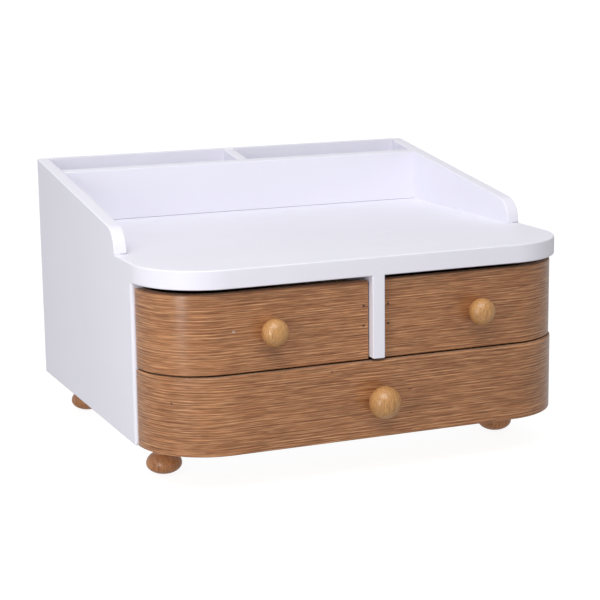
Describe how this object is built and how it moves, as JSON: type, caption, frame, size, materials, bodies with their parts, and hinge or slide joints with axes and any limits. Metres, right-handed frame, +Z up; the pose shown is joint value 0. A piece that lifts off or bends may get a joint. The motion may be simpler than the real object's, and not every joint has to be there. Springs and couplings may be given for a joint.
{
  "type": "desk organizer",
  "caption": "White desk organizer with a raised-back tray, divided rear compartments, rounded wood-fronted drawers with ball knobs and turned feet.",
  "frame": {"origin": "on the floor, under the middle of the whole object, knobs included", "axes": "+X to the right as seen from the front, +Y to the back, +Z up"},
  "size_m": [0.34, 0.3316, 0.214],
  "materials": {
    "white_paint": "white satin paint on fibreboard",
    "veneer": "brown-stained, straight-grained veneer, satin lacquer",
    "drawer_wood": "pale plywood and solid wood, unfinished",
    "knob_wood": "honey-coloured turned wood, gloss lacquer",
    "foot_wood": "brown-stained turned wood, satin lacquer",
    "steel": "bright zinc-plated steel"
  },
  "bodies": {
    "case": {"left_side_panel": "white_paint", "right_side_panel": "white_paint", "top_board": "white_paint", "back_panel": "white_paint", "rear_partition": "white_paint", "compartment_divider": "white_paint", "drawer_divider": "white_paint", "middle_shelf": "white_paint", "bottom_board": "white_paint", "front_left_foot": "foot_wood", "front_right_foot": "foot_wood", "rear_left_foot": "foot_wood", "rear_right_foot": "foot_wood", "front_left_foot_screw": "steel", "front_right_foot_screw": "steel", "rear_left_foot_screw": "steel", "rear_right_foot_screw": "steel"},
    "upper_left_drawer": {"upper_left_drawer_front": "veneer", "upper_left_drawer_outer_wall": "drawer_wood", "upper_left_drawer_inner_wall": "drawer_wood", "upper_left_drawer_back_wall": "drawer_wood", "upper_left_drawer_bottom": "drawer_wood", "upper_left_drawer_corner_block": "drawer_wood", "upper_left_drawer_knob": "knob_wood", "upper_left_drawer_knob_screw": "steel", "upper_left_drawer_lower_brad": "steel", "upper_left_drawer_upper_brad": "steel"},
    "upper_right_drawer": {"upper_right_drawer_front": "veneer", "upper_right_drawer_outer_wall": "drawer_wood", "upper_right_drawer_inner_wall": "drawer_wood", "upper_right_drawer_back_wall": "drawer_wood", "upper_right_drawer_bottom": "drawer_wood", "upper_right_drawer_corner_block": "drawer_wood", "upper_right_drawer_knob": "knob_wood", "upper_right_drawer_knob_screw": "steel", "upper_right_drawer_lower_brad": "steel", "upper_right_drawer_upper_brad": "steel"},
    "lower_drawer": {"lower_drawer_front": "veneer", "lower_drawer_left_wall": "drawer_wood", "lower_drawer_right_wall": "drawer_wood", "lower_drawer_back_wall": "drawer_wood", "lower_drawer_bottom": "drawer_wood", "lower_drawer_left_corner_block": "drawer_wood", "lower_drawer_right_corner_block": "drawer_wood", "lower_drawer_knob": "knob_wood", "lower_drawer_knob_screw": "steel"}
  },
  "joints": [
    {"name": "upper_left_drawer_slide", "type": "slide", "parent": "case", "child": "upper_left_drawer", "axis": [0, -1, 0], "range_m": [0, 0.18]},
    {"name": "upper_right_drawer_slide", "type": "slide", "parent": "case", "child": "upper_right_drawer", "axis": [0, -1, 0], "range_m": [0, 0.18]},
    {"name": "lower_drawer_slide", "type": "slide", "parent": "case", "child": "lower_drawer", "axis": [0, -1, 0], "range_m": [0, 0.18]}
  ]
}
